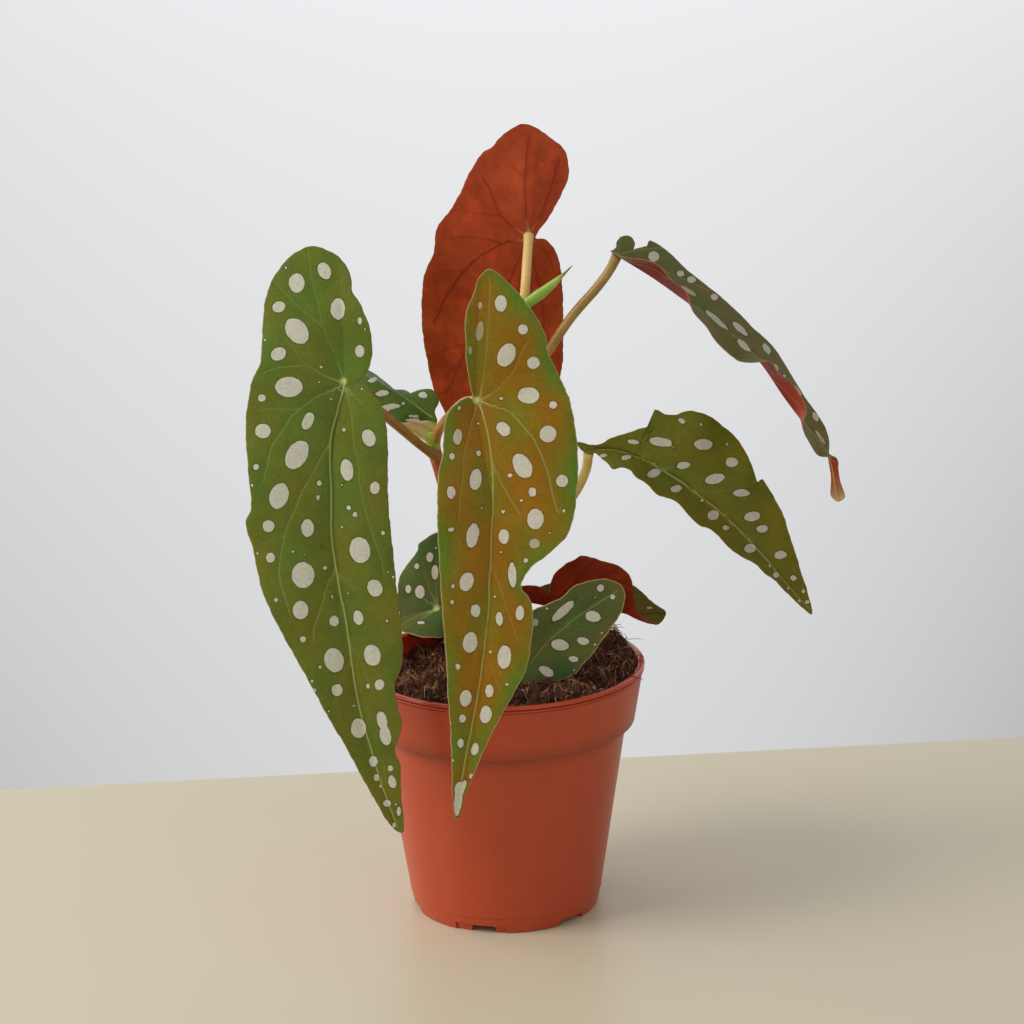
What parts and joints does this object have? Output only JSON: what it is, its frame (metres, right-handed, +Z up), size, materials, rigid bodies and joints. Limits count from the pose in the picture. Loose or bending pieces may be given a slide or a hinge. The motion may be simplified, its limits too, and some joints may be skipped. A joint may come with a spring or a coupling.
{
  "type": "potted begonia",
  "caption": "Polka dot begonia with long wing-shaped spotted leaves on thin stalks, growing in a round terracotta-coloured plastic nursery pot filled with fibrous soil.",
  "frame": {"origin": "centre of the pot's flat bottom, where it stands on the table", "axes": "+Z up along the pot's axis, -Y the front that the two big leaves hang over, +X the plant's right as seen from the front"},
  "size_m": [0.2458, 0.1487, 0.3325],
  "materials": {
    "pot": "satin, terracotta colour",
    "soil": "rough, fibrous",
    "cane": "satin, reddish brown",
    "green_leaf": "satin leaf green with pale dots",
    "bronze_leaf": "satin bronze olive with pale dots",
    "dark_leaf": "satin dark green with pale dots",
    "red_leaf": "satin red underside, olive upper face",
    "petiole": "satin olive yellow",
    "stipule": "papery, dull",
    "bud": "satin bright green"
  },
  "bodies": {
    "root": {"nursery_pot": "pot", "potting_soil": "soil", "cane_left": "cane", "cane_right": "cane", "cane_low": "cane", "blade_front_left": "green_leaf", "petiole_front_left": "petiole", "blade_front_centre": "bronze_leaf", "petiole_front_centre": "petiole", "blade_back_top": "red_leaf", "petiole_back_top": "petiole", "blade_right_top": "dark_leaf", "petiole_right_top": "petiole", "blade_right_middle": "green_leaf", "petiole_right_middle": "petiole", "blade_back_left": "dark_leaf", "petiole_back_left": "petiole", "blade_back_low": "dark_leaf", "petiole_back_low": "petiole", "blade_low_front": "dark_leaf", "petiole_low_front": "petiole", "blade_low_back": "red_leaf", "petiole_low_back": "petiole", "stipule_left": "stipule", "shoot_top": "bud"}
  },
  "joints": []
}
